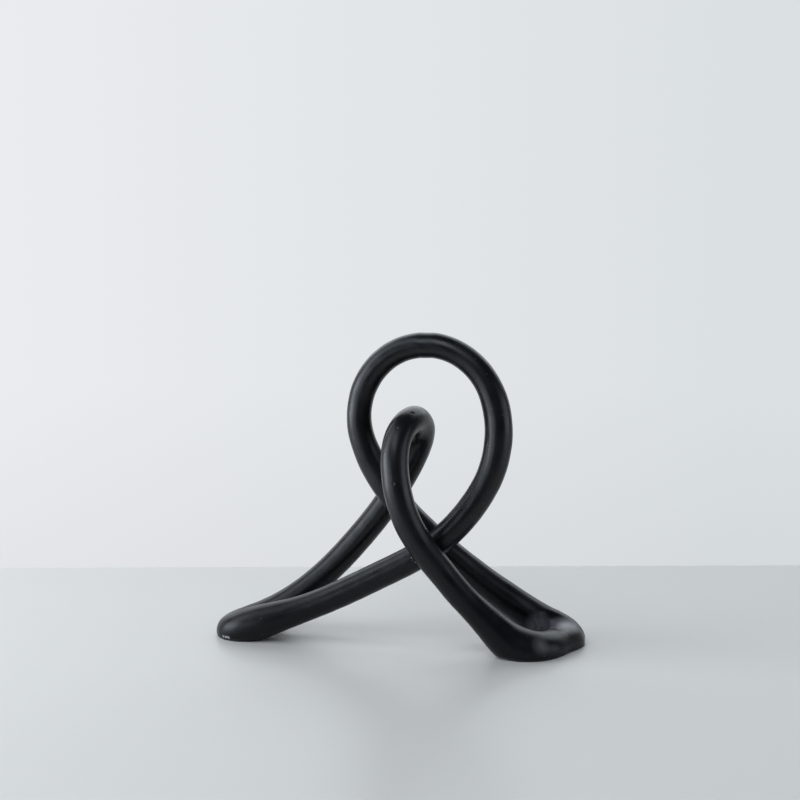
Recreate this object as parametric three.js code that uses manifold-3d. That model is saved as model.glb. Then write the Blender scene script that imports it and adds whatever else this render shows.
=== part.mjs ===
// Knot sculpture: an endless round rod of cast resin, tied in an open knot that stands on two feet.
// Two strands are cast apart, threaded through each other and bonded end to end at the toes.
// Millimetres, +Z up, +X from the narrow left foot to the wide right foot, the front at -Y.
import * as THREE from "three";
import { mergeVertices } from "three/addons/utils/BufferGeometryUtils.js";
import Module from "manifold-3d";

// The rod
const ROD_D = 13.6; // on the legs and the sides of the loops
const LOOP_TOP_D = 12.5; // drawn down a little over the top of the big loop
const FOOT_SWELL = 33; // the feet are thicker still: how far up a leg that reaches
const RIGHT_BACK_SWELL = 62; // the same on the right foot's back leg
const STRAND_GAP = 0.8; // clear space where one strand passes another
const LAYER = ROD_D + STRAND_GAP; // from one strand's centre line to the next, front to back

// The knot: the place where the big loop's two legs cross, which is x = 0
const KNOT_Z = 52;

// The big loop: a leaning ellipse above, with flanks that run down to the knot
const BIG_LOOP_X = -2.4;
const BIG_LOOP_Z = 115.3;
const BIG_LOOP_WIDTH = 71; // between centre lines
const BIG_LOOP_HEIGHT = 76.4;
const BIG_LOOP_LEAN = 9; // degrees, to the left
const BIG_LOOP_THIN = 30; // degrees round the ellipse, from its right end, where the rod is drawn down
const RIGHT_FLANK = [21.4, 74.2]; // x and z on the way up from the knot
const RIGHT_SIDE = [29.4, 88.8];
const LEFT_SIDE = [-32.5, 94.8]; // x and z on the way down to the knot
const LEFT_FLANK = [-19.6, 73.9];

// The small loop: an arch from front to back, standing over the knot inside the big loop
const ARCH_TOP = 114; // centre line
const ARCH_SPRING_Z = 90; // where the arch leaves its two legs
const ARCH_FRONT_ROOM = 1; // more clear space where the arch passes in front of the knot
const ARCH_BACK_Y = 18.3; // depth of the leg behind; the big loop's left flank lies one layer before it
const ARCH_SWAY = [-15, -14.8, -9.7, -7.7, -14.8]; // x from the front foot of the arch to the back one
const ARCH_FRONT_LEG = [-6.1, 62]; // x and z where it passes in front of the knot
const ARCH_BACK_LEG = [-27.1, 69.2]; // x and z where it passes behind the big loop

// The left foot: a tight U-turn on the ground, lowest at its toe
const LEFT_REACH = 106.4; // knot to the toe's centre line
const LEFT_MIDDLE = 5.4; // depth of the toe
const LEFT_SLOT = 4.4; // clear space between the two strands
const LEFT_FRONT_D = 18.2;
const LEFT_BACK_D = 15.6;
const LEFT_TOE_Z = 1.8; // centre line over the table
const LEFT_FRONT_Z = 6.6; // the same at the heels, where the legs start to rise
const LEFT_BACK_Z = 5.8;

// The right foot: a wide U-turn that slants back, from its front heel round to its back heel.
// Each is x, y, z and the rod's diameter there.
const RIGHT_FRONT = [44.7, -13.7, 5.2, 19.8];
const RIGHT_SHOULDER = [51.9, -12.2, 3.3, 19.3];
const RIGHT_TOE = [63.6, 3.5, 1.9, 17.3];
const RIGHT_HIP = [67.9, 13.2, 1.7, 17.6];
const RIGHT_TAIL = [64.3, 23.2, 4.3, 17.1];
const RIGHT_BACK = [52.9, 25.7, 8.5, 17.5];

// How far each leg hangs below a straight line from its heel to the knot
const BIG_LEFT_SAG = 3.8;
const BIG_RIGHT_SAG = 1.9;
const ARCH_FRONT_SAG = 4.9;
const ARCH_BACK_SAG = 8.2;

// Pads under the feet
const PAD_T = 1;
const PAD_INSET = 0.8; // from the edge of the ground-off flat
const PAD_END_W = 1.5; // half the width of a pad's blunt ends

// Armature wires and the joints at the toes
const WIRE_D = 3;
const WIRE_CLEARANCE = 0.3;
const DOWEL_L = 12; // a wire's end that enters the next strand
const GLUE_GAP = 0.3;
const SOLE_T = 1.4; // least resin left under a wire's channel in a foot
const WIRE_LOW_Z = PAD_T + SOLE_T + WIRE_CLEARANCE + WIRE_D / 2;
const WIRE_EASE = 3; // how gently a wire is lifted over the sole

// Stations on the centre line
const LEG_STATIONS = 3; // between a heel and the knot
const ELLIPSE_STATIONS = 6; // on the upper half of the big loop
const SETTLING_PASSES = 60; // until the slopes at the stations agree

// Fineness of the facets
const ROD_SIDES = 24;
const WIRE_SIDES = 8;
const FACET_ERROR = 0.12; // between a facet's edge and the true centre line
const WIRE_FACET_ERROR = 0.05; // the same for a wire and its channel
const LONGEST_STEP = 9;
const PAD_STEPS = 24;

const RESIN_BLACK = 0x1b1d1f;
const FELT_BLACK = 0x111213;
const STEEL_GREY = 0x9a9da1;

const mix = (a, b, share) => a + (b - a) * share;

// A station on the centre line: place and rod diameter
const station = (x, y, z, d) => new THREE.Vector4(x, y, z, d);

// Stations on a leg, from its heel up to the knot: a straight line that sags, thinning from the foot
function leg(heel, top, sag, swell = FOOT_SWELL) {
  const length = Math.hypot(top.x - heel.x, top.y - heel.y, top.z - heel.z);
  return Array.from({ length: LEG_STATIONS }, (_, i) => {
    const share = (i + 1) / (LEG_STATIONS + 1);
    const point = heel.clone().lerp(top, share);
    point.z -= 4 * share * (1 - share) * sag;
    point.w = mix(heel.w, top.w, Math.min(1, share * length / swell));
    return point;
  });
}

// Stations of the knot, all round the endless rod from the left toe, in the order that it runs
function knotStations() {
  const leftTurn = (LEFT_FRONT_D + LEFT_BACK_D) / 2 + LEFT_SLOT;
  const left = (degrees) => {
    const angle = THREE.MathUtils.degToRad(degrees);
    const across = Math.sin(angle);
    const heelZ = across < 0 ? LEFT_FRONT_Z : LEFT_BACK_Z;
    return station(
      -LEFT_REACH + (1 - Math.cos(angle)) * leftTurn / 2,
      LEFT_MIDDLE + across * leftTurn / 2,
      mix(heelZ, LEFT_TOE_Z, Math.cos(angle)),
      mix(LEFT_FRONT_D, LEFT_BACK_D, (1 + across) / 2),
    );
  };
  const leftFront = left(-90);
  const leftBack = left(90);
  const rightFront = station(...RIGHT_FRONT);
  const rightBack = station(...RIGHT_BACK);

  const knotFront = station(0, -LAYER / 2, KNOT_Z, ROD_D);
  const knotBack = station(0, LAYER / 2, KNOT_Z, ROD_D);

  const lean = THREE.MathUtils.degToRad(BIG_LOOP_LEAN);
  const ellipse = Array.from({ length: ELLIPSE_STATIONS }, (_, i) => {
    const degrees = 180 * i / (ELLIPSE_STATIONS - 1);
    const angle = THREE.MathUtils.degToRad(degrees);
    const u = Math.cos(angle) * BIG_LOOP_WIDTH / 2;
    const w = Math.sin(angle) * BIG_LOOP_HEIGHT / 2;
    const x = BIG_LOOP_X + u * Math.cos(lean) - w * Math.sin(lean);
    const z = BIG_LOOP_Z + u * Math.sin(lean) + w * Math.cos(lean);
    return [x, z, degrees < BIG_LOOP_THIN ? ROD_D : LOOP_TOP_D];
  });
  const bigOutline = [
    [...RIGHT_FLANK, ROD_D],
    [...RIGHT_SIDE, ROD_D],
    ...ellipse,
    [...LEFT_SIDE, LOOP_TOP_D],
    [...LEFT_FLANK, ROD_D],
  ];
  // The big loop goes back evenly, from the front of the knot to just before the small loop's back leg
  const bigLoop = bigOutline.map(([x, z, d], i) =>
    station(x, mix(-LAYER / 2, ARCH_BACK_Y - LAYER, (i + 1) / bigOutline.length), z, d));

  const archFront = -1.5 * LAYER - ARCH_FRONT_ROOM;
  const arch = ARCH_SWAY.map((x, i) => {
    const angle = Math.PI * i / (ARCH_SWAY.length - 1);
    const y = mix(archFront, ARCH_BACK_Y, (1 - Math.cos(angle)) / 2);
    return station(x, y, mix(ARCH_SPRING_Z, ARCH_TOP, Math.sin(angle)), ROD_D);
  });
  const frontLeg = station(ARCH_FRONT_LEG[0], archFront, ARCH_FRONT_LEG[1], ROD_D);
  const backLeg = station(ARCH_BACK_LEG[0], ARCH_BACK_Y, ARCH_BACK_LEG[1], ROD_D);

  const big = [
    left(0),
    left(-45),
    leftFront,
    ...leg(leftFront, knotFront, BIG_LEFT_SAG),
    knotFront,
    ...bigLoop,
    knotBack,
    ...leg(rightBack, knotBack, BIG_RIGHT_SAG, RIGHT_BACK_SWELL).reverse(),
    rightBack,
    station(...RIGHT_TAIL),
    station(...RIGHT_HIP),
  ];
  const small = [
    station(...RIGHT_TOE),
    station(...RIGHT_SHOULDER),
    rightFront,
    ...leg(rightFront, frontLeg, ARCH_FRONT_SAG),
    frontLeg,
    ...arch,
    backLeg,
    ...leg(leftBack, backLeg, ARCH_BACK_SAG).reverse(),
    leftBack,
    left(45),
  ];
  return { stations: [...big, ...small], rightToeIndex: big.length };
}

// A smooth closed curve through stations, with the rod's diameter carried along it.
// Its slopes are those of the closed cubic spline, so its bend never jumps.
class ClosedRod {
  constructor(stations) {
    const count = stations.length;
    const before = (i) => (i + count - 1) % count;
    const after = (i) => (i + 1) % count;
    const place = (s) => new THREE.Vector3(s.x, s.y, s.z);
    this.stations = stations;
    this.spans = stations.map((s, i) => place(s).distanceTo(place(stations[after(i)])));
    this.knots = [0];
    this.spans.forEach((span, i) => this.knots.push(this.knots[i] + span));
    this.length = this.knots[count];
    this.slopes = stations.map(() => station(0, 0, 0, 0));
    const rise = (i) => stations[after(i)].clone().sub(stations[i]).divideScalar(this.spans[i]);
    for (let pass = 0; pass < SETTLING_PASSES; pass += 1) {
      stations.forEach((s, i) => {
        const near = 1 / this.spans[before(i)];
        const far = 1 / this.spans[i];
        const pull = rise(before(i)).multiplyScalar(3 * near).add(rise(i).multiplyScalar(3 * far));
        pull.sub(this.slopes[before(i)].clone().multiplyScalar(near));
        pull.sub(this.slopes[after(i)].clone().multiplyScalar(far));
        this.slopes[i] = pull.divideScalar(2 * (near + far));
      });
    }
  }

  // Place and diameter at a distance t along the stations' chain of chords
  at(t) {
    const wrapped = ((t % this.length) + this.length) % this.length;
    let i = 0;
    while (this.knots[i + 1] <= wrapped) i += 1;
    const next = (i + 1) % this.stations.length;
    const span = this.spans[i];
    const u = (wrapped - this.knots[i]) / span;
    const point = this.stations[i].clone().multiplyScalar((1 + 2 * u) * (1 - u) ** 2);
    point.add(this.slopes[i].clone().multiplyScalar(u * (1 - u) ** 2 * span));
    point.add(this.stations[next].clone().multiplyScalar(u * u * (3 - 2 * u)));
    point.add(this.slopes[next].clone().multiplyScalar(u * u * (u - 1) * span));
    return point;
  }

  point(t) {
    const p = this.at(t);
    return new THREE.Vector3(p.x, p.y, p.z);
  }

  tangent(t, reach = 0.05) {
    return this.point(t + reach).sub(this.point(t - reach)).normalize();
  }

  // Radius of the bend at t
  bend(t, reach = 1) {
    const turn = this.tangent(t - reach).angleTo(this.tangent(t + reach));
    return 2 * reach / Math.max(turn, 1e-6);
  }

  // Steps from start to end, short where the rod bends hard
  steps(start, end, error = FACET_ERROR) {
    const marks = [start];
    for (let t = start; t < end; t = marks[marks.length - 1]) {
      const step = Math.min(LONGEST_STEP, Math.sqrt(8 * this.bend(t) * error));
      marks.push(Math.min(end, t + step));
    }
    return marks;
  }
}

const { stations, rightToeIndex } = knotStations();
const rod = new ClosedRod(stations);
const LEFT_JOINT = 0;
const RIGHT_JOINT = rod.knots[rightToeIndex];
const ROUND_TRIP = rod.length;

// The greater of two heights, with the change from one to the other eased
const lifted = (z, lowest) => (z + lowest + Math.hypot(z - lowest, WIRE_EASE)) / 2;

// Rings of points round the centre line, no lower than asked, carried along without twist
function rings(marks, sides, radiusAt, lowest) {
  const normal = new THREE.Vector3(0, 0, 1);
  return marks.map((t) => {
    const centre = rod.point(t);
    if (lowest !== undefined) centre.z = lifted(centre.z, lowest);
    const tangent = rod.tangent(t);
    normal.addScaledVector(tangent, -normal.dot(tangent)).normalize();
    const side = new THREE.Vector3().crossVectors(tangent, normal);
    const radius = radiusAt(t);
    return Array.from({ length: sides }, (_, i) => {
      const angle = 2 * Math.PI * i / sides;
      return centre.clone()
        .addScaledVector(normal, radius * Math.cos(angle))
        .addScaledVector(side, radius * Math.sin(angle));
    });
  });
}

// A closed solid through rings, with flat ends
function loft(ringList) {
  const sides = ringList[0].length;
  const points = ringList.flat();
  const faces = [];
  for (let r = 0; r + 1 < ringList.length; r += 1) {
    for (let i = 0; i < sides; i += 1) {
      const a = r * sides + i;
      const b = r * sides + (i + 1) % sides;
      faces.push(a, b, b + sides, a, b + sides, a + sides);
    }
  }
  const last = (ringList.length - 1) * sides;
  for (let i = 1; i + 1 < sides; i += 1) {
    faces.push(0, i + 1, i, last, last + i, last + i + 1);
  }
  return new THREE.BufferGeometry().setFromPoints(points).setIndex(faces);
}

const wasm = await Module();
wasm.setup();

function toSolid(geometry) {
  const bare = geometry.clone();
  bare.deleteAttribute("normal");
  bare.deleteAttribute("uv");
  const merged = mergeVertices(bare);
  return new wasm.Manifold(new wasm.Mesh({
    numProp: 3,
    vertProperties: new Float32Array(merged.attributes.position.array),
    triVerts: new Uint32Array(merged.index.array),
  }));
}

function toGeometry(solid) {
  const { vertProperties, triVerts } = solid.getMesh();
  const geometry = new THREE.BufferGeometry();
  geometry.setAttribute("position", new THREE.BufferAttribute(vertProperties, 3));
  geometry.setIndex(new THREE.BufferAttribute(triVerts, 1));
  geometry.computeVertexNormals();
  return geometry;
}

// Everything below the underside of the resin, to grind the feet flat
function grindstone() {
  const width = 4 * (LEFT_REACH + RIGHT_HIP[0]);
  const depth = 2 * LEFT_FRONT_D;
  return toSolid(new THREE.BoxGeometry(width, width, depth).translate(0, 0, PAD_T - depth / 2));
}

// One cast strand from joint to joint: the rod, less the wire's channel, ground flat at its feet
function strand(start, end) {
  const from = start + GLUE_GAP / 2;
  const to = end - GLUE_GAP / 2;
  const body = loft(rings(rod.steps(from, to), ROD_SIDES, (t) => rod.at(t).w / 2));
  const channelR = WIRE_D / 2 + WIRE_CLEARANCE;
  const channelMarks = rod.steps(start - GLUE_GAP, end + GLUE_GAP, WIRE_FACET_ERROR);
  const channel = loft(rings(channelMarks, WIRE_SIDES, () => channelR, WIRE_LOW_Z));
  return toGeometry(toSolid(body).subtract(toSolid(channel)).subtract(grindstone()));
}

// One armature wire, shifted back so that its first end is the dowel in the strand before.
// It follows the centre line, but is lifted over the ground-off soles of the feet.
function wire(start, end) {
  const marks = rod.steps(start - DOWEL_L, end - DOWEL_L - GLUE_GAP, WIRE_FACET_ERROR);
  return loft(rings(marks, WIRE_SIDES, () => WIRE_D / 2, WIRE_LOW_Z));
}

// Half the width of the ground-off flat at t, less the pad's inset
function padHalfWidth(t) {
  const p = rod.at(t);
  const rise = p.z - PAD_T;
  return Math.sqrt(Math.max(0, (p.w / 2) ** 2 - rise * rise)) - PAD_INSET;
}

// The place, going from t in steps of one way, where the pad has narrowed to its blunt end
function padEnd(t, way) {
  let mark = t;
  while (padHalfWidth(mark) > PAD_END_W) mark += way * FACET_ERROR;
  return mark;
}

// A pad cut to the flat under one foot, following the U-turn round the toe
function footPad(toe) {
  const start = padEnd(toe, -1);
  const end = padEnd(toe, 1);
  const sideLine = (hand) => Array.from({ length: PAD_STEPS + 1 }, (_, i) => {
    const t = mix(start, end, (1 - Math.cos(Math.PI * i / PAD_STEPS)) / 2);
    const p = rod.at(t);
    const along = rod.tangent(t);
    const across = new THREE.Vector2(-along.y, along.x).normalize().multiplyScalar(hand * padHalfWidth(t));
    return new THREE.Vector2(p.x, p.y).add(across);
  });
  const outline = [...sideLine(-1), ...sideLine(1).reverse()];
  return new THREE.ExtrudeGeometry(new THREE.Shape(outline), { depth: PAD_T, bevelEnabled: false });
}

const resin = new THREE.MeshStandardMaterial({ color: RESIN_BLACK, roughness: 0.5, metalness: 0 });
const steel = new THREE.MeshStandardMaterial({ color: STEEL_GREY, roughness: 0.4, metalness: 1 });
const felt = new THREE.MeshStandardMaterial({ color: FELT_BLACK, roughness: 0.95, metalness: 0 });

function piece(name, geometry, material) {
  const mesh = new THREE.Mesh(geometry, material);
  mesh.name = name;
  return mesh;
}

const sculpture = new THREE.Group();
sculpture.add(
  piece("big_loop", strand(LEFT_JOINT, RIGHT_JOINT), resin.clone()),
  piece("small_loop", strand(RIGHT_JOINT, ROUND_TRIP), resin.clone()),
  piece("big_loop_wire", wire(LEFT_JOINT, RIGHT_JOINT), steel.clone()),
  piece("small_loop_wire", wire(RIGHT_JOINT, ROUND_TRIP), steel.clone()),
  piece("left_foot_pad", footPad(LEFT_JOINT), felt.clone()),
  piece("right_foot_pad", footPad(RIGHT_JOINT), felt.clone()),
);

// The origin is on the table, under the middle of the whole
const middle = new THREE.Box3().setFromObject(sculpture).getCenter(new THREE.Vector3());
sculpture.position.set(-middle.x, -middle.y, 0);

export default sculpture;
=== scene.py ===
"""Knot sculpture: two cast resin strands bonded at the toes, felt under the feet, steel wire inside."""
import math

import bmesh
import bpy
import numpy as np
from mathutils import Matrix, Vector


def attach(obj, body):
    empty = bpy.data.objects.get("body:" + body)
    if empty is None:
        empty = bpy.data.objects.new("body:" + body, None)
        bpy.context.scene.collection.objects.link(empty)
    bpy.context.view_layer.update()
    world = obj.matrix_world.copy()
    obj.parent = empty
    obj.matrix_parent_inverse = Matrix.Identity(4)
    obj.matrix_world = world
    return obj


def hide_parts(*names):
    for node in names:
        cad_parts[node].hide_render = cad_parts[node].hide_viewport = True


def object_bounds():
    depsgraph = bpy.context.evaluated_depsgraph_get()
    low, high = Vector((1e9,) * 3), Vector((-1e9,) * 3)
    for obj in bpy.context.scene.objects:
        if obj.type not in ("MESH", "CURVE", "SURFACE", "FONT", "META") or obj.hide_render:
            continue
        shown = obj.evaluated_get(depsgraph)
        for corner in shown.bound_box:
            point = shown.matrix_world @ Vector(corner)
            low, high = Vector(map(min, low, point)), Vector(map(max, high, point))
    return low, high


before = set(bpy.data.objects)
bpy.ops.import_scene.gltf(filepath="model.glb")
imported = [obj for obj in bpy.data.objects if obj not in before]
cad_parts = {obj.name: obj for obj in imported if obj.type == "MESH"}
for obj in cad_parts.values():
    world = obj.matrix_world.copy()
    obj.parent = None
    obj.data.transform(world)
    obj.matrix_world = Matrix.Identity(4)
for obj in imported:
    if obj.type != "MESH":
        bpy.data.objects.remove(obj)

SOLIDS_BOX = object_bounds()
MM = 0.001

# The rod, in millimetres
ROD_D = 13.6
LOOP_TOP_D = 12.5
FOOT_SWELL = 33
RIGHT_BACK_SWELL = 62
STRAND_GAP = 0.8
LAYER = ROD_D + STRAND_GAP

# The knot: the height of the strand in front, and x and z of the one behind it
KNOT_Z = 52
KNOT_BACK = (0.4, 52.6)

# The big loop: its ellipse, and x and z of the stations below it on either side
BIG_LOOP_X = -2.4
BIG_LOOP_Z = 115.3
BIG_LOOP_WIDTH = 71
BIG_LOOP_HEIGHT = 76.4
BIG_LOOP_LEAN = 9
BIG_LOOP_THIN = 30
RIGHT_FLANK = (21.4, 74.2)
RIGHT_SIDE = (29.4, 88.8)
LEFT_SIDE = (-32.5, 94.8)
LEFT_FLANK = (-19.6, 73.9)

# The small loop's arch: its sway is x at each station, its legs are x and z
ARCH_TOP = 115.8
ARCH_SPRING_Z = 90
ARCH_FRONT_ROOM = 1
ARCH_BACK_Y = 18.3
ARCH_SWAY = (-15, -14.8, -9.7, -7.7, -14.8)
ARCH_FRONT_LEG = (-6.1, 62)
ARCH_BACK_LEG = (-27.1, 69.2)

# The left foot
LEFT_REACH = 106.4
LEFT_MIDDLE = 5.4
LEFT_SLOT = 4.4
LEFT_FRONT_D = 18.2
LEFT_BACK_D = 15.6
LEFT_TOE_Z = 1.8
LEFT_FRONT_Z = 6.6
LEFT_BACK_Z = 5.8

# The right foot, from its front heel round to its back heel: x, y, z and diameter
RIGHT_FRONT = (44.7, -13.7, 5.2, 19.8)
RIGHT_SHOULDER = (51.9, -12.2, 3.3, 19.3)
RIGHT_TOE = (63.6, 3.5, 1.9, 17.3)
RIGHT_HIP = (67.9, 13.2, 1.7, 17.6)
RIGHT_TAIL = (64.3, 23.2, 3.7, 17.1)
RIGHT_BACK = (52.9, 25.7, 8.5, 17.5)

# How far each leg hangs below a straight line
BIG_LEFT_SAG = 3.8
BIG_RIGHT_SAG = 1.9
ARCH_FRONT_SAG = 4.9
ARCH_BACK_SAG = 8.2

LEG_STATIONS = 3
ELLIPSE_STATIONS = 6
TANGENT_REACH = 0.05

# The knot's own origin, in the frame
KNOT_PLACE = np.array((19.094, -2.142, 0))

# Felt pads: how square their section is, across and up, and the waves of their furry edge
PAD_T = 1
PAD_INSET = 0.3
PAD_END_W = 1.5
PAD_ROUND = 0.3
PAD_MARKS = 110
PAD_SIDES = 28
PAD_STEP = 0.1
PAD_SEARCH = 4 * LEFT_FRONT_D
PAD_SQUARE = (2.2, 1.6)
PAD_FUZZ = 0.09
FUZZ_STEP = 7.3
FUZZ_SWING = 5
FUZZ_LOBES = 3
FUZZ_DRIFT = 0.9

# Skin of the strands
RING_STEP = 0.9
RING_SIDES = 72
SEAM_ROUND = 0.05
SEAM_GAP = 0.01
SEAM_RINGS = 4
COAT_T = 0.1
GROUND_ROUND = 0.15

# The coat stays in the solids' box, except below, where the feet are rubbed flat
SKIN_BOX = np.array(SOLIDS_BOX) / MM
SKIN_BOX[0, 2] = -ROD_D

# Unevenness from hand rubbing: its height, and waves given by x, y and z, phase and weight
HAND_WAVE = 0.09
WAVES = (
    (0.21, 0.34, -0.17, 1.0, 1.0),
    (-0.13, 0.27, 0.31, 2.3, 1.0),
    (0.52, -0.41, 0.47, 0.4, 0.6),
)

# The flat on the wide foot's toe: its height in the middle, its rise at its reach, and the height
# at which it stops
TOE_FLAT_PLACE = (86, 7)
TOE_FLAT_Z = 9.8
TOE_FLAT_TOP = 20
TOE_FLAT_RISE = 8
TOE_FLAT_REACH = 16
TOE_FLAT_POWER = 4
TOE_FLAT_ROUND = 0.6

# The ramp that fills the inside of the wide foot's turn, from the joint back along the big loop;
# it starts at the rod's half height, in shares of its radius
RAMP_NODE = "big_loop"
RAMP_LENGTH = 35
RAMP_ANGLE = math.radians(15)
RAMP_LOW = -0.01

# Where the ramp and the turn are eased into one hollow
FILLET_PLACE = (78, 14.5, 7.5)
FILLET_REACH = 8.5
FILLET_PASSES = 300
FILLET_FACTOR = 0.5

# Pinholes, chips and painted glints: a place in the frame, width and depth, all in millimetres
PINHOLES = {
    "small_loop": [
        ((10.6, -12.6, 120.3), 2.0, 1.2),
        ((9.4, -13.0, 120.5), 0.8, 0.4),
        ((4.6, -22.9, 114.1), 0.9, 0.4),
        ((4.6, -31.9, 87.9), 1.5, 0.9),
    ],
    "big_loop": [
        ((10.5, -16.5, 47.0), 1.4, 0.8),
        ((12.0, -16.5, 46.6), 1.8, 1.0),
        ((-25.2, -2.6, 142.2), 0.8, 0.3),
    ],
}
CHIPS_AND_GLINTS = {
    "small_loop": [],
    "big_loop": [
        ((-89.2, -11.3, 1.9), 1.5, 0.3),
        ((-86.6, -13.0, 2.1), 1.4, 0.25),
        ((-85.2, -13.7, 2.4), 1.9, 0.3),
        # The last two are painted glints: small pale pits beside the big loop's pinholes, standing in for
        # highlights
        ((12.7, -16.5, 46.0), 0.7, 0.1),
        ((10.4, -16.5, 47.9), 0.5, 0.1),
    ],
}
PINHOLE_PALE = 0.25
# Chips and the painted glints are fully pale
CHIP_AND_GLINT_PALE = 1.0

# The finer faces round a pit, in millimetres, and the pit's own form
PATCH_REACH = 1.1
PATCH_CUTS = 4
PATCH_EDGE = 0.3
PIT_WOBBLE = 0.25
PIT_LOBES = 3
PIT_TURN = 9
PIT_ROUND = 0.7
PIT_PALE_EDGE = 2

# Where the mould left the cast rough: inside the wide foot's turn
ROUGH_PLACE = (72.2, 14.0, 8.2)
ROUGH_REACH = 8

# Painted highlights on the wide foot: a pale painted reflection on the rim of that turn and a painted
# highlight low on the foot's front, both tinted bluish: a place in the frame, how far each is full and how
# far it reaches, in millimetres, and its grey
PAINTED_HIGHLIGHTS = [
    ((84.0, 11.2, 9.8), 1.8, 8.8, 0.25),
    ((76.0, -21.3, 8.2), 0.5, 5.6, 0.085),
]


def mix(a, b, share):
    return a + (b - a) * share


def leg(heel, top, sag, swell=FOOT_SWELL):
    """Stations from a heel up to the knot: a straight line that sags, thinning from the foot."""
    heel = np.array(heel, float)
    top = np.array(top, float)
    length = np.linalg.norm(top[:3] - heel[:3])
    stations = []
    for i in range(LEG_STATIONS):
        share = (i + 1) / (LEG_STATIONS + 1)
        point = mix(heel, top, share)
        point[2] -= 4 * share * (1 - share) * sag
        point[3] = mix(heel[3], top[3], min(1, share * length / swell))
        stations.append(point)
    return stations


def left_foot(degrees):
    """A station on the left foot's turn, with its toe at 0 degrees and its front heel at -90."""
    turn = (LEFT_FRONT_D + LEFT_BACK_D) / 2 + LEFT_SLOT
    angle = math.radians(degrees)
    across = math.sin(angle)
    x = -LEFT_REACH + (1 - math.cos(angle)) * turn / 2
    y = LEFT_MIDDLE + across * turn / 2
    heel_z = LEFT_FRONT_Z if across < 0 else LEFT_BACK_Z
    z = mix(heel_z, LEFT_TOE_Z, math.cos(angle))
    return (x, y, z, mix(LEFT_FRONT_D, LEFT_BACK_D, (1 + across) / 2))


def big_outline():
    """x, z and diameter round the big loop, from the right flank over the top to the left flank."""
    lean = math.radians(BIG_LOOP_LEAN)
    outline = [(*RIGHT_FLANK, ROD_D), (*RIGHT_SIDE, ROD_D)]
    for i in range(ELLIPSE_STATIONS):
        degrees = 180 * i / (ELLIPSE_STATIONS - 1)
        angle = math.radians(degrees)
        u = math.cos(angle) * BIG_LOOP_WIDTH / 2
        w = math.sin(angle) * BIG_LOOP_HEIGHT / 2
        x = BIG_LOOP_X + u * math.cos(lean) - w * math.sin(lean)
        z = BIG_LOOP_Z + u * math.sin(lean) + w * math.cos(lean)
        outline.append((x, z, ROD_D if degrees < BIG_LOOP_THIN else LOOP_TOP_D))
    return outline + [(*LEFT_SIDE, ROD_D), (*LEFT_FLANK, ROD_D)]


def knot_stations():
    """Stations all round the endless rod from the left toe, and how many belong to the big loop."""
    left_front = left_foot(-90)
    left_back = left_foot(90)
    knot_front = (0, -LAYER / 2, KNOT_Z, ROD_D)
    knot_back = (KNOT_BACK[0], LAYER / 2, KNOT_BACK[1], ROD_D)

    outline = big_outline()
    big_loop = []
    for i, (x, z, d) in enumerate(outline):
        y = mix(-LAYER / 2, ARCH_BACK_Y - LAYER, (i + 1) / len(outline))
        big_loop.append((x, y, z, d))

    arch_front = -1.5 * LAYER - ARCH_FRONT_ROOM
    arch = []
    for i, x in enumerate(ARCH_SWAY):
        angle = math.pi * i / (len(ARCH_SWAY) - 1)
        y = mix(arch_front, ARCH_BACK_Y, (1 - math.cos(angle)) / 2)
        arch.append((x, y, mix(ARCH_SPRING_Z, ARCH_TOP, math.sin(angle)), ROD_D))
    front_leg = (ARCH_FRONT_LEG[0], arch_front, ARCH_FRONT_LEG[1], ROD_D)
    back_leg = (ARCH_BACK_LEG[0], ARCH_BACK_Y, ARCH_BACK_LEG[1], ROD_D)

    big = [left_foot(0), left_foot(-45), left_front]
    big += leg(left_front, knot_front, BIG_LEFT_SAG)
    big += [knot_front, *big_loop, knot_back]
    big += leg(RIGHT_BACK, knot_back, BIG_RIGHT_SAG, RIGHT_BACK_SWELL)[::-1]
    big += [RIGHT_BACK, RIGHT_TAIL, RIGHT_HIP]

    small = [RIGHT_TOE, RIGHT_SHOULDER, RIGHT_FRONT]
    small += leg(RIGHT_FRONT, front_leg, ARCH_FRONT_SAG)
    small += [front_leg, *arch, back_leg]
    small += leg(left_back, back_leg, ARCH_BACK_SAG)[::-1]
    small += [left_back, left_foot(45)]
    return np.array(big + small, float), len(big)


class ClosedRod:
    """A smooth closed curve through the stations, with the rod's diameter carried along it."""

    def __init__(self, stations):
        count = len(stations)
        following = np.roll(stations, -1, axis=0)
        self.stations = stations
        self.spans = np.linalg.norm((following - stations)[:, :3], axis=1)
        self.knots = np.concatenate([[0], np.cumsum(self.spans)])
        self.length = self.knots[-1]
        rise = (following - stations) / self.spans[:, None]
        near = 1 / np.roll(self.spans, 1)
        far = 1 / self.spans
        system = np.diag(2 * (near + far))
        for i in range(count):
            system[i, i - 1] += near[i]
            system[i, (i + 1) % count] += far[i]
        pull = 3 * (np.roll(rise, 1, axis=0) * near[:, None] + rise * far[:, None])
        self.slopes = np.linalg.solve(system, pull)

    def at(self, marks):
        """x, y, z and diameter at each mark, in the frame."""
        marks = np.mod(np.asarray(marks, float), self.length)
        i = np.searchsorted(self.knots, marks, side="right") - 1
        i = np.clip(i, 0, len(self.stations) - 1)
        j = (i + 1) % len(self.stations)
        span = self.spans[i][:, None]
        u = (marks - self.knots[i])[:, None] / span
        point = self.stations[i] * (1 + 2 * u) * (1 - u) ** 2
        point += self.slopes[i] * u * (1 - u) ** 2 * span
        point += self.stations[j] * u * u * (3 - 2 * u)
        point += self.slopes[j] * u * u * (u - 1) * span
        point[:, :3] += KNOT_PLACE
        return point

    def tangent(self, marks):
        marks = np.asarray(marks, float)
        along = (self.at(marks + TANGENT_REACH) - self.at(marks - TANGENT_REACH))[:, :3]
        return along / np.linalg.norm(along, axis=1)[:, None]


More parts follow.
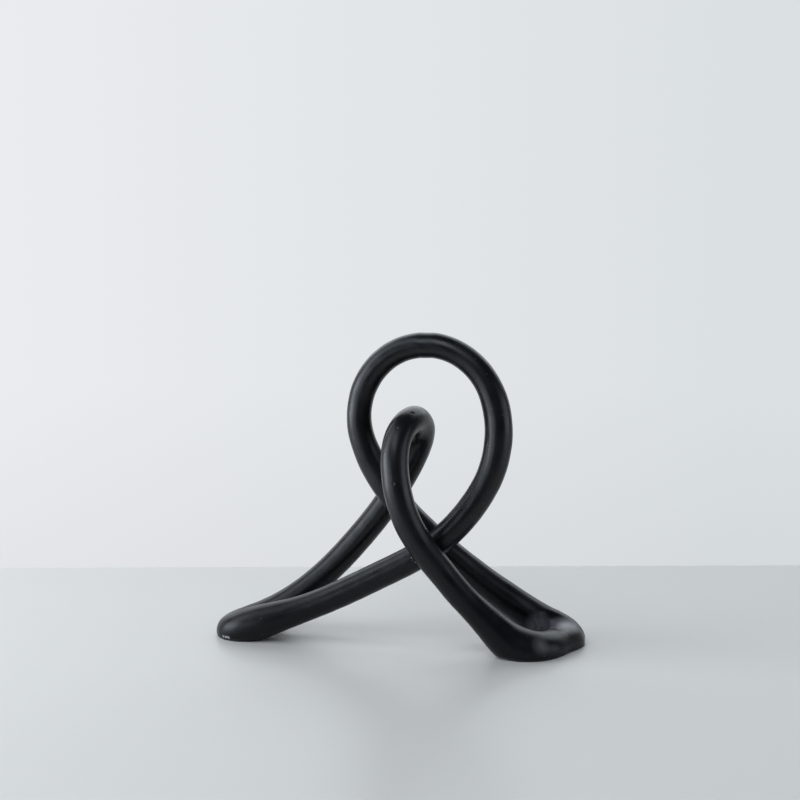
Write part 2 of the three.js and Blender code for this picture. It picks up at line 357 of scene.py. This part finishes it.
def hand_wave(points):
    """Slow unevenness left by hand rubbing, from -1 to 1."""
    x, y, z = points[..., 0], points[..., 1], points[..., 2]
    waves = [weight * np.sin(a * x + b * y + c * z + phase) for a, b, c, phase, weight in WAVES]
    return sum(waves) / sum(weight for *_, weight in WAVES)


def ground_flat(points):
    """The feet rubbed flat on the underside, with a soft edge."""
    rise = (points[..., 2] - PAD_T) / GROUND_ROUND
    points[..., 2] = PAD_T + GROUND_ROUND * np.logaddexp(0, rise)


def toe_flat(points):
    """The wide foot's crest rubbed nearly flat round its toe."""
    away = np.hypot(points[..., 0] - TOE_FLAT_PLACE[0], points[..., 1] - TOE_FLAT_PLACE[1])
    limit = TOE_FLAT_Z + TOE_FLAT_RISE * (away / TOE_FLAT_REACH) ** TOE_FLAT_POWER
    room = (limit - points[..., 2]) / TOE_FLAT_ROUND
    lowered = limit - TOE_FLAT_ROUND * np.logaddexp(0, room)
    points[..., 2] = np.where(limit < TOE_FLAT_TOP, lowered, points[..., 2])


def kept_in_box(ring):
    """A ring moved back where its coat stands out of the solids' box."""
    low, high = SKIN_BOX
    return ring + np.maximum(0, low - ring.min(axis=0)) - np.maximum(0, ring.max(axis=0) - high)


def ramp_share(marks, joint):
    """How full the ramp is at each mark: none at its two ends, all in the middle."""
    share = np.clip((joint - marks) / RAMP_LENGTH, 0, 1)
    return np.sin(math.pi * share) ** 2


def ramp(outward, along, radius):
    """How far to lift the rod's inner quarter on to a straight ramp that leaves its crest smoothly."""
    up = np.array((0.0, 0.0, 1.0)) - along * along[2]
    up /= np.linalg.norm(up)
    height = outward @ up
    across = outward @ np.cross(along, up)
    line = math.cos(RAMP_ANGLE) - (across - math.sin(RAMP_ANGLE)) * math.tan(RAMP_ANGLE)
    inside = (height > RAMP_LOW) & (across > math.sin(RAMP_ANGLE))
    return np.outer(np.where(inside, line - height, 0) * radius, up)


def strand_rings(rod, start, end, joint=None):
    """Rings of points round one strand, with rounded ends at the joints."""
    start += SEAM_GAP
    end -= SEAM_GAP
    turns = np.linspace(0, math.pi / 2, SEAM_RINGS, endpoint=False)
    lead = SEAM_ROUND * (1 - np.cos(turns))
    drop = SEAM_ROUND * (1 - np.sin(turns))
    body = np.linspace(start + SEAM_ROUND, end - SEAM_ROUND, round((end - start) / RING_STEP))
    marks = np.concatenate([start + lead, body, end - lead[::-1]])
    radius_loss = np.concatenate([drop, np.zeros(len(body)), drop[::-1]])

    stations = rod.at(marks)
    tangents = rod.tangent(marks)
    normal = np.array((0.0, 0.0, 1.0))
    angles = np.linspace(0, 2 * math.pi, RING_SIDES, endpoint=False)
    shares = np.zeros(len(marks)) if joint is None else ramp_share(marks, joint)
    rings = []
    for place, along, loss, share in zip(stations, tangents, radius_loss, shares):
        normal = normal - along * normal.dot(along)
        normal /= np.linalg.norm(normal)
        side = np.cross(along, normal)
        outward = np.outer(np.cos(angles), normal) + np.outer(np.sin(angles), side)
        radius = place[3] / 2 - loss
        surface = place[:3] + outward * radius + share * ramp(outward, along, radius)
        give = HAND_WAVE * hand_wave(surface) + COAT_T
        rings.append(kept_in_box(surface + outward * give[:, None]))
    rings = np.array(rings)
    toe_flat(rings)
    ground_flat(rings)
    return rings


def skin(name, rings):
    """A closed mesh through rings, with flat ends, in metres."""
    count, sides, _ = rings.shape
    faces = []
    for r in range(count - 1):
        for i in range(sides):
            a = r * sides + i
            b = r * sides + (i + 1) % sides
            faces.append((a, b, b + sides, a + sides))
    faces.append(tuple(range(sides))[::-1])
    faces.append(tuple(range((count - 1) * sides, count * sides)))
    mesh = bpy.data.meshes.new(name)
    mesh.from_pydata((rings.reshape(-1, 3) * MM).tolist(), [], faces)
    mesh.validate()
    for polygon in mesh.polygons:
        polygon.use_smooth = len(polygon.vertices) == 4
    piece = bpy.data.objects.new(name, mesh)
    bpy.context.collection.objects.link(piece)
    return piece


def nearest(bm, place):
    return min(bm.verts, key=lambda v: (v.co - place).length_squared)


def dent(bm, layer, place, width, depth, pale):
    """Press a small pit into the skin on a finer patch of faces; pale marks what it lays bare, and on the
    glint pits a painted glint.
    """
    reach = width * MM / 2
    middle = nearest(bm, Vector(place) * MM).co.copy()
    patch = [f for f in bm.faces if (f.calc_center_median() - middle).length < reach + PATCH_REACH * MM]
    edges = {e for f in patch for e in f.edges if e.calc_length() > PATCH_EDGE * MM}
    bmesh.ops.subdivide_edges(bm, edges=list(edges), cuts=PATCH_CUTS, use_grid_fill=True)
    bm.normal_update()
    inward = -nearest(bm, middle).normal
    for v in bm.verts:
        offset = v.co - middle
        if offset.length > reach * (1 + PIT_WOBBLE):
            continue
        wobble = 1 + PIT_WOBBLE * math.sin(PIT_LOBES * math.atan2(offset.z, offset.x) + PIT_TURN * width)
        share = max(0.0, 1 - (offset.length / (reach * wobble)) ** 2)
        v.co += inward * (depth * MM * share ** PIT_ROUND)
        v[layer] = max(v[layer], pale * min(1.0, PIT_PALE_EDGE * share))


def fillet(bm):
    """The tight inside of the wide foot's turn, eased into a smooth hollow."""
    middle = Vector(FILLET_PLACE) * MM
    inside = [v for v in bm.verts if (v.co - middle).length < FILLET_REACH * MM]
    for _ in range(FILLET_PASSES if inside else 0):
        bmesh.ops.smooth_vert(bm, verts=inside, factor=FILLET_FACTOR,
                              use_axis_x=True, use_axis_y=True, use_axis_z=True)


def strand(node, start, end, rod):
    """One cast strand: its skin, its pinholes, chips and painted glints, and the marks that its finish reads.
    """
    joint = end if node == RAMP_NODE else None
    piece = skin(node + "_resin", strand_rings(rod, start, end, joint))
    bm = bmesh.new()
    bm.from_mesh(piece.data)
    fillet(bm)
    # The pale of bare resin in pits and chips, and of the painted glints
    layer = bm.verts.layers.float.new("bare_resin_and_glint")
    for place, width, depth in PINHOLES[node]:
        dent(bm, layer, place, width, depth, PINHOLE_PALE)
    for place, width, depth in CHIPS_AND_GLINTS[node]:
        dent(bm, layer, place, width, depth, CHIP_AND_GLINT_PALE)
    bm.to_mesh(piece.data)
    bm.free()
    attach(piece, "root")
    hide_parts(node)
    return piece


def pad_half_width(rod, marks):
    station = rod.at(marks)
    rise = station[:, 2] - PAD_T
    return np.sqrt(np.maximum(0, (station[:, 3] / 2) ** 2 - rise * rise)) - PAD_INSET


def pad_end(rod, mark, way):
    """The mark, going one way from the toe, where a pad has narrowed to its blunt end."""
    marks = mark + way * np.arange(0, PAD_SEARCH, PAD_STEP)
    narrow = pad_half_width(rod, marks) < PAD_END_W
    return marks[int(np.argmax(narrow))]


def felt_pad(node, toe, rod):
    """A felt pad that follows the foot's turn: a flat rounded ribbon with a slightly furry edge."""
    marks = np.linspace(pad_end(rod, toe, -1), pad_end(rod, toe, 1), PAD_MARKS)
    stations = rod.at(marks)
    along = rod.tangent(marks)
    across = np.stack([-along[:, 1], along[:, 0], np.zeros(PAD_MARKS)], axis=1)
    across /= np.linalg.norm(across, axis=1)[:, None]
    widths = pad_half_width(rod, marks)
    angles = np.linspace(0, 2 * math.pi, PAD_SIDES, endpoint=False)
    rings = []
    for i in range(PAD_MARKS):
        fuzz = PAD_FUZZ * np.sin(FUZZ_STEP * i + FUZZ_SWING * np.cos(FUZZ_LOBES * angles + FUZZ_DRIFT * i))
        half = widths[i] - PAD_ROUND
        flank = np.sign(np.cos(angles)) * half * np.minimum(1, PAD_SQUARE[0] * np.abs(np.cos(angles)))
        out = flank + (PAD_ROUND + fuzz) * np.cos(angles)
        lift = PAD_T / 2 * np.clip(PAD_SQUARE[1] * np.sin(angles), -1, 1)
        centre = np.array((stations[i, 0], stations[i, 1], PAD_T / 2))
        rings.append(centre + np.outer(out, across[i]) + np.outer(lift, (0, 0, 1)))
    piece = skin(node + "_felt", np.array(rings))
    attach(piece, "root")
    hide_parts(node)
    return piece


# Finishes: sizes in metres, and each pair from its low or first value to its high or last one

CLOUD_SPAN = (0.3, 0.7)
DUST_FACING = (0.1, 1.0)
DUST_UNEVEN = (0.42, 0.72)
DUST_GREY = (0.30, 0.31, 0.32, 1)

RESIN_GRAIN = 0.00035
RESIN_CLOUD = 0.011
RESIN_DUST = 0.0009
RESIN_DUST_SHARE = 0.02
RESIN_BLACKS = ((0.0016, 0.0023, 0.003, 1), (0.0036, 0.0048, 0.006, 1))
RESIN_GLOSS = (0.25, 0.41)
RESIN_SPECULAR_Z = (0.02, 0.07)
RESIN_SPECULAR = (0.22, 0.40)
RESIN_BUMP = {"Strength": 0.35, "Distance": 0.00005}
# Bluish tint of the painted highlights, and the grey of bare chips and of the painted glints
HIGHLIGHT_TINT = (1, 1.02, 1.05)
CHIP_AND_GLINT_GREY = (0.42, 0.43, 0.44, 1)

ROUGH_GREY = (0.25, 0.25, 0.28, 1)
ROUGH_GLOSS_LOSS = 0.25
PEBBLES = {"Scale": 1100.0, "Detail": 2.0}
PEBBLE_HEIGHT = 6.0

# Pale specks, fading outward from their middles
SPECK_SCALE = 360.0
SPECK_EDGE = (0.10, 0.03)
SPECK_CHANCE = (0.4, 1.0)
SPECK_SHARE = (0.0, 0.4)
SPECK_GREY = (0.5, 0.51, 0.53, 1)

FELT_FIBRE = 0.00022
FELT_CLOUD = 0.004
FELT_BLACKS = ((0.004, 0.004, 0.005, 1), (0.018, 0.018, 0.02, 1))
FELT_ROUGHNESS = 0.95
FELT_SHEEN = 0.2
FELT_BUMP = {"Strength": 0.8, "Distance": 0.0002}
LINT = 0.0006
LINT_SHARE = 0.2
LINT_GREY = (0.3, 0.3, 0.3, 1)

STEEL_GRAIN = 0.0002
STEEL_CLOUD = 0.006
STEEL_GREYS = ((0.42, 0.43, 0.45, 1), (0.55, 0.56, 0.58, 1))
STEEL_GLOSS = (0.25, 0.42)


def add(tree, kind, inputs=None, **settings):
    """A node with its settings and inputs; an input that is a socket is joined to it."""
    node = tree.nodes.new(kind)
    for key, value in settings.items():
        setattr(node, key, value)
    for key, value in (inputs or {}).items():
        if isinstance(value, bpy.types.NodeSocket):
            tree.links.new(value, node.inputs[key])
        else:
            node.inputs[key].default_value = value
    return node


def new_group(name, inputs, outputs):
    """An effect that several finishes share, with named inputs and outputs."""
    group = bpy.data.node_groups.new(name, "ShaderNodeTree")
    for label, kind in inputs.items():
        group.interface.new_socket(label, in_out="INPUT", socket_type=kind)
    for label, kind in outputs.items():
        group.interface.new_socket(label, in_out="OUTPUT", socket_type=kind)
    return group, group.nodes.new("NodeGroupInput"), group.nodes.new("NodeGroupOutput")


def math_node(tree, operation, first, second=0.0, clamp=False):
    node = add(tree, "ShaderNodeMath", {0: first, 1: second}, operation=operation, use_clamp=clamp)
    return node.outputs[0]


def remap(tree, value, low, high, to_low=0.0, to_high=1.0):
    inputs = {"Value": value, "From Min": low, "From Max": high, "To Min": to_low, "To Max": to_high}
    return add(tree, "ShaderNodeMapRange", inputs).outputs["Result"]


def distance(tree, place, spot):
    """How far the surface is from a spot that is given in millimetres."""
    inputs = {0: place, 1: tuple(c * MM for c in spot)}
    return add(tree, "ShaderNodeVectorMath", inputs, operation="DISTANCE").outputs["Value"]


def blend_colour(tree, share, first, second):
    node = add(tree, "ShaderNodeMix", {0: share, 6: first, 7: second}, data_type="RGBA")
    return node.outputs[2]


def grain_group():
    """Fine grain and slow clouding, each of a given size in metres."""
    group, given, result = new_group(
        "grain_and_cloud",
        {"Place": "NodeSocketVector", "Grain Size": "NodeSocketFloat", "Cloud Size": "NodeSocketFloat"},
        {"Grain": "NodeSocketFloat", "Cloud": "NodeSocketFloat"})
    fine = math_node(group, "DIVIDE", 1.0, given.outputs["Grain Size"])
    slow = math_node(group, "DIVIDE", 1.0, given.outputs["Cloud Size"])
    grain = add(group, "ShaderNodeTexNoise",
                {"Vector": given.outputs["Place"], "Scale": fine, "Detail": 2.0, "Roughness": 0.6})
    cloud = add(group, "ShaderNodeTexNoise",
                {"Vector": given.outputs["Place"], "Scale": slow, "Detail": 4.0, "Roughness": 0.55})
    group.links.new(grain.outputs[0], result.inputs["Grain"])
    group.links.new(cloud.outputs[0], result.inputs["Cloud"])
    return group


def dust_group():
    """Pale dust that settles on what faces up, in uneven specks."""
    group, given, result = new_group(
        "settled_dust",
        {"Place": "NodeSocketVector", "Speck Size": "NodeSocketFloat"},
        {"Dust": "NodeSocketFloat"})
    facing = add(group, "ShaderNodeNewGeometry")
    parts = add(group, "ShaderNodeSeparateXYZ", {0: facing.outputs["Normal"]})
    upward = remap(group, parts.outputs["Z"], *DUST_FACING)
    size = math_node(group, "DIVIDE", 1.0, given.outputs["Speck Size"])
    specks = add(group, "ShaderNodeTexNoise",
                 {"Vector": given.outputs["Place"], "Scale": size, "Detail": 3.0, "Roughness": 0.7})
    uneven = remap(group, specks.outputs[0], *DUST_UNEVEN)
    group.links.new(math_node(group, "MULTIPLY", upward, uneven, True), result.inputs["Dust"])
    return group


def new_finish(name):
    finish = bpy.data.materials.new(name)
    finish.use_nodes = True
    tree = finish.node_tree
    tree.nodes.clear()
    shader = tree.nodes.new("ShaderNodeBsdfPrincipled")
    output = tree.nodes.new("ShaderNodeOutputMaterial")
    tree.links.new(shader.outputs[0], output.inputs["Surface"])
    place = tree.nodes.new("ShaderNodeTexCoord").outputs["Object"]
    return finish, tree, shader, place


def use_group(tree, group, place, **values):
    node = tree.nodes.new("ShaderNodeGroup")
    node.node_tree = group
    tree.links.new(place, node.inputs["Place"])
    for label, value in values.items():
        node.inputs[label.replace("_", " ")].default_value = value
    return node


def resin_colour(tree, place, cloud, dust, rough_pebble):
    """Clouded black with a veil of dust, painted highlights, a rough place, bare chips, painted glints and a
    few pale specks.
    """
    black = blend_colour(tree, cloud, *RESIN_BLACKS)
    colour = blend_colour(tree, math_node(tree, "MULTIPLY", dust, RESIN_DUST_SHARE), black, DUST_GREY)
    # Painted highlights: pale bluish greys on the wide foot's rim and front
    for spot, full, reach, grey in PAINTED_HIGHLIGHTS:
        share = remap(tree, distance(tree, place, spot), reach * MM, full * MM)
        colour = blend_colour(tree, share, colour, (*(grey * tint for tint in HIGHLIGHT_TINT), 1))
    colour = blend_colour(tree, rough_pebble, colour, ROUGH_GREY)
    # Bare resin in pits and chips, and the painted glints
    bare = add(tree, "ShaderNodeAttribute", attribute_name="bare_resin_and_glint").outputs["Fac"]
    colour = blend_colour(tree, bare, colour, CHIP_AND_GLINT_GREY)

    cells = add(tree, "ShaderNodeTexVoronoi", {"Vector": place, "Scale": SPECK_SCALE})
    dot = remap(tree, cells.outputs["Distance"], *SPECK_EDGE)
    chance = add(tree, "ShaderNodeSeparateXYZ", {0: cells.outputs["Color"]}).outputs["X"]
    speck = math_node(tree, "MULTIPLY", dot, remap(tree, chance, *SPECK_CHANCE, *SPECK_SHARE))
    return blend_colour(tree, speck, colour, SPECK_GREY)


def resin_finish(grain, dust):
    """Satin black cast resin, rubbed down by hand: clouded gloss, fine grain, a little dust, bare chips,
    painted highlights and glints.
    """
    finish, tree, shader, place = new_finish("satin_black_resin")
    fine = use_group(tree, grain, place, Grain_Size=RESIN_GRAIN, Cloud_Size=RESIN_CLOUD)
    veil = use_group(tree, dust, place, Speck_Size=RESIN_DUST)
    rough = remap(tree, distance(tree, place, ROUGH_PLACE), ROUGH_REACH * MM, 0.0)
    pebble = add(tree, "ShaderNodeTexNoise", {"Vector": place, **PEBBLES}).outputs[0]
    rough_pebble = math_node(tree, "MULTIPLY", rough, pebble)
    colour = resin_colour(tree, place, fine.outputs["Cloud"], veil.outputs["Dust"], rough_pebble)
    tree.links.new(colour, shader.inputs["Base Color"])

    gloss = remap(tree, fine.outputs["Cloud"], *CLOUD_SPAN, *RESIN_GLOSS)
    gloss = math_node(tree, "ADD", gloss, math_node(tree, "MULTIPLY", rough, ROUGH_GLOSS_LOSS))
    tree.links.new(gloss, shader.inputs["Roughness"])

    pebble_height = math_node(tree, "MULTIPLY", rough_pebble, PEBBLE_HEIGHT)
    height = math_node(tree, "ADD", fine.outputs["Grain"], pebble_height)
    bump = add(tree, "ShaderNodeBump", {"Height": height, **RESIN_BUMP})
    tree.links.new(bump.outputs[0], shader.inputs["Normal"])
    parts = add(tree, "ShaderNodeSeparateXYZ", {0: place})
    specular = remap(tree, parts.outputs["Z"], *RESIN_SPECULAR_Z, *RESIN_SPECULAR)
    tree.links.new(specular, shader.inputs["Specular IOR Level"])
    return finish


def felt_finish(grain, dust):
    """Thin pressed black felt: matted fibres with pale lint."""
    finish, tree, shader, place = new_finish("pressed_black_felt")
    fibre = use_group(tree, grain, place, Grain_Size=FELT_FIBRE, Cloud_Size=FELT_CLOUD)
    lint = use_group(tree, dust, place, Speck_Size=LINT)
    tone = blend_colour(tree, fibre.outputs["Grain"], *FELT_BLACKS)
    share = math_node(tree, "MULTIPLY", lint.outputs["Dust"], LINT_SHARE)
    tree.links.new(blend_colour(tree, share, tone, LINT_GREY), shader.inputs["Base Color"])
    bump = add(tree, "ShaderNodeBump", {"Height": fibre.outputs["Grain"], **FELT_BUMP})
    tree.links.new(bump.outputs[0], shader.inputs["Normal"])
    shader.inputs["Roughness"].default_value = FELT_ROUGHNESS
    shader.inputs["Sheen Weight"].default_value = FELT_SHEEN
    return finish


def steel_finish(grain):
    """Drawn steel wire: bright, with slightly clouded gloss."""
    finish, tree, shader, place = new_finish("drawn_steel")
    draw = use_group(tree, grain, place, Grain_Size=STEEL_GRAIN, Cloud_Size=STEEL_CLOUD)
    tone = blend_colour(tree, draw.outputs["Cloud"], *STEEL_GREYS)
    tree.links.new(tone, shader.inputs["Base Color"])
    gloss = remap(tree, draw.outputs["Grain"], *CLOUD_SPAN, *STEEL_GLOSS)
    tree.links.new(gloss, shader.inputs["Roughness"])
    shader.inputs["Metallic"].default_value = 1.0
    return finish


def paint(piece, finish):
    piece.data.materials.clear()
    piece.data.materials.append(finish)


# The table, the wall behind it, the light and the camera, in metres and degrees

CAMERA_PLACE = (0.1262, -0.7044, 0.2065)
CAMERA_PITCH = 83.51
CAMERA_YAW = 10.0
CAMERA_LENS = 64.26
CAMERA_SENSOR = 36

# Distances from the camera's foot
TABLE_BACK = 0.884
TABLE_FRONT = 0.40
TABLE_LEFT = 0.36
TABLE_RIGHT = 0.6
TABLE_SKEW = 0.8
WALL_BACK = 2.2
WALL_SIDE = 2.5
WALL_LOW = -1.5
WALL_HIGH = 2.5

# Tones from left to right, on the wall painted light that is brighter on its left, and a painted shade from
# near or low to far or high
TABLE_TONES = ((0.715, 0.69, 0.635, 1), (0.71, 0.69, 0.64, 1))
TABLE_TONES_X = (-0.25, 0.25)
# Painted shade: the table darker towards the front
TABLE_SHADE_Y = (-0.2, 0.05)
TABLE_SHADE = (0.92, 1.0)
TABLE_ROUGHNESS = 0.36
TABLE_SPECULAR = 0.42
# Painted light: the wall brighter on its left, where the light comes from
WALL_PAINTED_LIGHT_TONES = ((0.85, 0.86, 0.885, 1), (0.71, 0.745, 0.765, 1))
WALL_PAINTED_LIGHT_X = (-1.1, 0.25)
# Painted shade: the wall darker lower down
WALL_SHADE_Z = (-0.32, -0.02)
WALL_SHADE = (0.93, 1.0)
WALL_ROUGHNESS = 0.9

# Lamps: right, forward and up from the camera's foot, width and height, and power
LAMPS = {
    "left_window": ((-1.0, 0.61, 0.105), (0.65, 0.50), 6.8),
    "left_window_top": ((-0.88, 0.62, 0.54), (0.57, 0.43), 2.3),
    "left_curtain": ((-0.77, 0.06, 0.105), (0.61, 0.50), 1.9),
    "left_high_panel": ((-0.69, 0.45, 1.02), (1.04, 0.51), 2.7),
    "front_high_panel": ((-0.19, -0.10, 0.90), (0.54, 0.60), 3.0),
    "right_panel": ((0.96, 0.44, 0.16), (0.83, 0.54), 2.1),
    "back_panel": ((0, 1.74, 1.01), (2.97, 1.19), 15.0),
}
LAMP_AIM = (0, 0, 0.07)
LAMP_COLOUR = (0.88, 0.95, 1.05)
ROOM_COLOUR = (0.8, 0.93, 1.05, 1)
ROOM_STRENGTH = 0.08


def flat_sheet(name, corners):
    mesh = bpy.data.meshes.new(name)
    mesh.from_pydata([tuple(c) for c in corners], [], [tuple(range(len(corners)))])
    sheet = bpy.data.objects.new(name, mesh)
    bpy.context.collection.objects.link(sheet)
    return sheet


def from_camera(right, forward, up, skew=0.0):
    """A point given by its distances from the camera's foot on the table."""
    yaw = math.radians(CAMERA_YAW + skew)
    x = CAMERA_PLACE[0] + right * math.cos(yaw) - forward * math.sin(yaw)
    y = CAMERA_PLACE[1] + right * math.sin(yaw) + forward * math.cos(yaw)
    return (x, y, up)


def stage_and_light():
    edges = ((-TABLE_LEFT, TABLE_FRONT), (TABLE_RIGHT, TABLE_FRONT),
             (TABLE_RIGHT, TABLE_BACK), (-TABLE_LEFT, TABLE_BACK))
    table = flat_sheet("table", [from_camera(r, f, 0, TABLE_SKEW) for r, f in edges])
    corners = ((-WALL_SIDE, WALL_LOW), (WALL_SIDE, WALL_LOW), (WALL_SIDE, WALL_HIGH), (-WALL_SIDE, WALL_HIGH))
    wall = flat_sheet("wall", [from_camera(r, WALL_BACK, u) for r, u in corners])
    paint(table, table_finish())
    paint(wall, wall_finish())
    for name, (place, size, power) in LAMPS.items():
        lamp(name, from_camera(*place), size, power)

    world = bpy.data.worlds.new("room")
    bpy.context.scene.world = world
    world.use_nodes = True
    background = world.node_tree.nodes["Background"]
    background.inputs["Color"].default_value = ROOM_COLOUR
    background.inputs["Strength"].default_value = ROOM_STRENGTH


def shaded_tone(tree, place, tones, tones_x, axis, span, shade):
    """A tone that runs from left to right, times a painted shade that runs along another axis; on the wall
    the tone is painted light.
    """
    parts = add(tree, "ShaderNodeSeparateXYZ", {0: place})
    tone = blend_colour(tree, remap(tree, parts.outputs["X"], *tones_x), *tones)
    level = remap(tree, parts.outputs[axis], *span, *shade)
    return add(tree, "ShaderNodeVectorMath", {0: tone, 3: level}, operation="SCALE").outputs[0]


def table_finish():
    """Pale satin paint, with painted shade darker towards the front."""
    finish, tree, shader, place = new_finish("pale_table")
    tone = shaded_tone(tree, place, TABLE_TONES, TABLE_TONES_X, "Y", TABLE_SHADE_Y, TABLE_SHADE)
    tree.links.new(tone, shader.inputs["Base Color"])
    shader.inputs["Roughness"].default_value = TABLE_ROUGHNESS
    shader.inputs["Specular IOR Level"].default_value = TABLE_SPECULAR
    return finish


def wall_finish():
    """Seen and mirrored at its own pale tone, with painted light brighter on the left and painted shade lower
    down.
    """
    finish, tree, shader, place = new_finish("pale_wall")
    output = next(n for n in tree.nodes if n.bl_idname == "ShaderNodeOutputMaterial")
    tone = shaded_tone(tree, place, WALL_PAINTED_LIGHT_TONES, WALL_PAINTED_LIGHT_X, "Z", WALL_SHADE_Z, WALL_SHADE)
    path = add(tree, "ShaderNodeLightPath")
    seen = math_node(tree, "MAXIMUM", path.outputs["Is Camera Ray"], path.outputs["Is Glossy Ray"])
    seen = math_node(tree, "MAXIMUM", seen, path.outputs["Is Transmission Ray"])
    glow = add(tree, "ShaderNodeEmission", {"Color": tone, "Strength": 1.0})
    tree.links.new(tone, shader.inputs["Base Color"])
    shader.inputs["Roughness"].default_value = WALL_ROUGHNESS
    shown = add(tree, "ShaderNodeMixShader", {0: seen, 1: shader.outputs[0], 2: glow.outputs[0]})
    tree.links.new(shown.outputs[0], output.inputs["Surface"])
    return finish


def lamp(name, place, size, power):
    """A soft panel that faces the middle of the sculpture."""
    light = bpy.data.lights.new(name, "AREA")
    light.shape = "RECTANGLE"
    light.size, light.size_y = size
    light.energy = power
    light.color = LAMP_COLOUR
    panel = bpy.data.objects.new(name, light)
    panel.location = place
    facing = Vector(LAMP_AIM) - panel.location
    panel.rotation_euler = facing.to_track_quat("-Z", "Y").to_euler()
    bpy.context.collection.objects.link(panel)


def set_camera():
    """The view that was fitted to the photo's outline."""
    data = bpy.data.cameras.new("photo_view")
    data.lens = CAMERA_LENS
    data.sensor_width = CAMERA_SENSOR
    data.sensor_fit = "HORIZONTAL"
    camera = bpy.data.objects.new("photo_view", data)
    camera.location = CAMERA_PLACE
    camera.rotation_euler = (math.radians(CAMERA_PITCH), 0, math.radians(CAMERA_YAW))
    bpy.context.collection.objects.link(camera)
    bpy.context.scene.camera = camera


def build():
    bpy.context.scene.view_settings.view_transform = "Standard"
    set_camera()
    stations, big_count = knot_stations()
    rod = ClosedRod(stations)
    left_joint, right_joint, round_trip = 0.0, rod.knots[big_count], rod.length

    grain = grain_group()
    dust = dust_group()
    resin = resin_finish(grain, dust)
    felt = felt_finish(grain, dust)
    steel = steel_finish(grain)

    paint(strand("big_loop", left_joint, right_joint, rod), resin)
    paint(strand("small_loop", right_joint, round_trip, rod), resin)
    paint(felt_pad("left_foot_pad", left_joint, rod), felt)
    paint(felt_pad("right_foot_pad", right_joint, rod), felt)
    for name in ("big_loop_wire", "small_loop_wire"):
        paint(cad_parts[name], steel)
    stage_and_light()


build()
